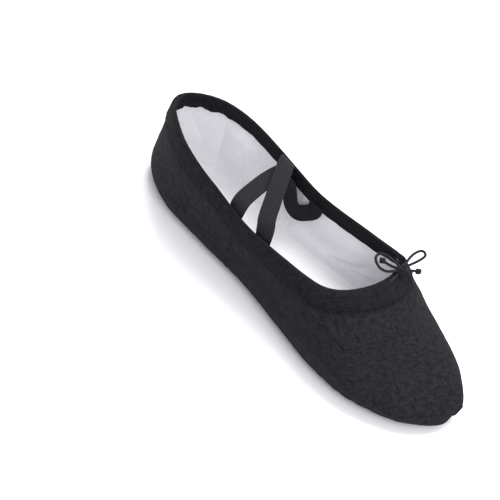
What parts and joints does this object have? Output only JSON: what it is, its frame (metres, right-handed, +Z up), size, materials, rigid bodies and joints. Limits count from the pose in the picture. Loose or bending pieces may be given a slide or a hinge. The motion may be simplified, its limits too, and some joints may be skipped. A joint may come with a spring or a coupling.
{
  "type": "ballet slipper",
  "caption": "Soft fabric dance slipper with a split sole, drawstring casing round the opening and crossed elastic straps.",
  "frame": {"origin": "on the floor, under the middle of the whole object's box", "axes": "+X from heel to toe, +Y towards the inner side of a right foot, +Z up"},
  "size_m": [0.2366, 0.0865, 0.0569],
  "materials": {
    "canvas": "matte plain-weave cotton canvas",
    "casing": "matte folded cotton strip",
    "lining": "matte white cotton lining",
    "sock": "matte white cotton twill",
    "suede": "napped split leather",
    "foam": "felted padding",
    "elastic": "ribbed woven elastic",
    "cord": "round braided elastic cord",
    "thread": "twisted sewing thread"
  },
  "bodies": {
    "forefoot": {"vamp_canvas": "canvas", "vamp_lining": "lining", "front_casing": "casing", "front_casing_stitching": "thread", "front_sock": "sock", "forefoot_sole": "suede", "forefoot_sole_stitching": "thread", "forefoot_pad": "foam", "drawstring": "cord", "bow_cord_left": "cord", "bow_cord_right": "cord", "bow_knot": "cord", "end_knot_left": "cord", "end_knot_right": "cord"},
    "heel": {"heel_canvas": "canvas", "heel_lining": "lining", "rear_casing": "casing", "rear_casing_stitching": "thread", "heel_sock": "sock", "heel_sole": "suede", "heel_sole_stitching": "thread", "heel_pad": "foam", "over_strap": "elastic", "over_strap_stitching": "thread"},
    "under_strap": {"under_strap": "elastic", "under_strap_stitching": "thread"}
  },
  "joints": [
    {"name": "waist_flex", "type": "hinge", "parent": "forefoot", "child": "heel", "pos_m": [-0.0195, 0, 0.0435], "axis": [0, 1, 0], "range_deg": [0, 30], "deforming": ["drawstring"]},
    {"name": "strap_swing", "type": "hinge", "parent": "heel", "child": "under_strap", "pos_m": [-0.0383, -0.03227, 0.0415], "axis": [-0.3018, -0.9437, 0.1353], "range_deg": [0, 25], "stiffness_Nm_per_rad": 0.003}
  ]
}
